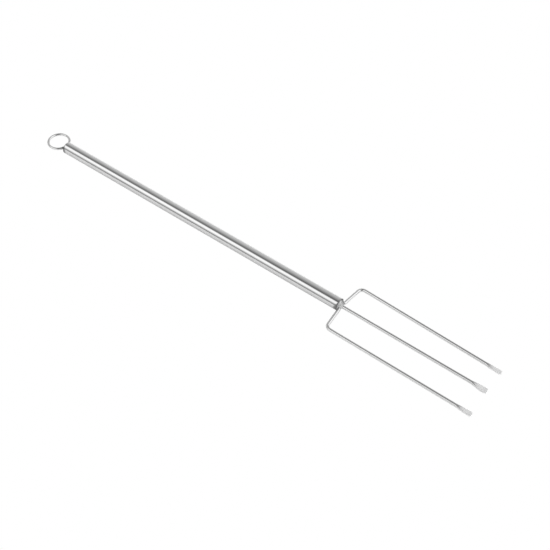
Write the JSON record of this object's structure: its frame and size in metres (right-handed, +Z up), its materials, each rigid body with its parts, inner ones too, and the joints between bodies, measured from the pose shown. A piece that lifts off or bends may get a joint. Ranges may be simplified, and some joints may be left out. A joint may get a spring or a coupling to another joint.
{
  "type": "dipping fork",
  "caption": "Slim wire fork with a long tubular steel handle, a wire hanging loop at one end and straight flat-tipped tines at the other.",
  "frame": {"origin": "middle of the fork's bounding box, on the plane that its handle and its tips rest on", "axes": "+X along the handle from the hanging loop towards the tips, +Y to the left of that, +Z up from the plane that it rests on"},
  "size_m": [0.2216, 0.0254, 0.0052],
  "materials": {
    "handle_steel": "polished",
    "wire_steel": "polished",
    "silver_braze": "satin"
  },
  "bodies": {
    "root": {"handle_tube": "handle_steel", "hanging_loop": "wire_steel", "loop_braze": "silver_braze", "left_tine": "wire_steel", "centre_tine": "wire_steel", "right_tine": "wire_steel", "tine_braze": "silver_braze"}
  },
  "joints": []
}
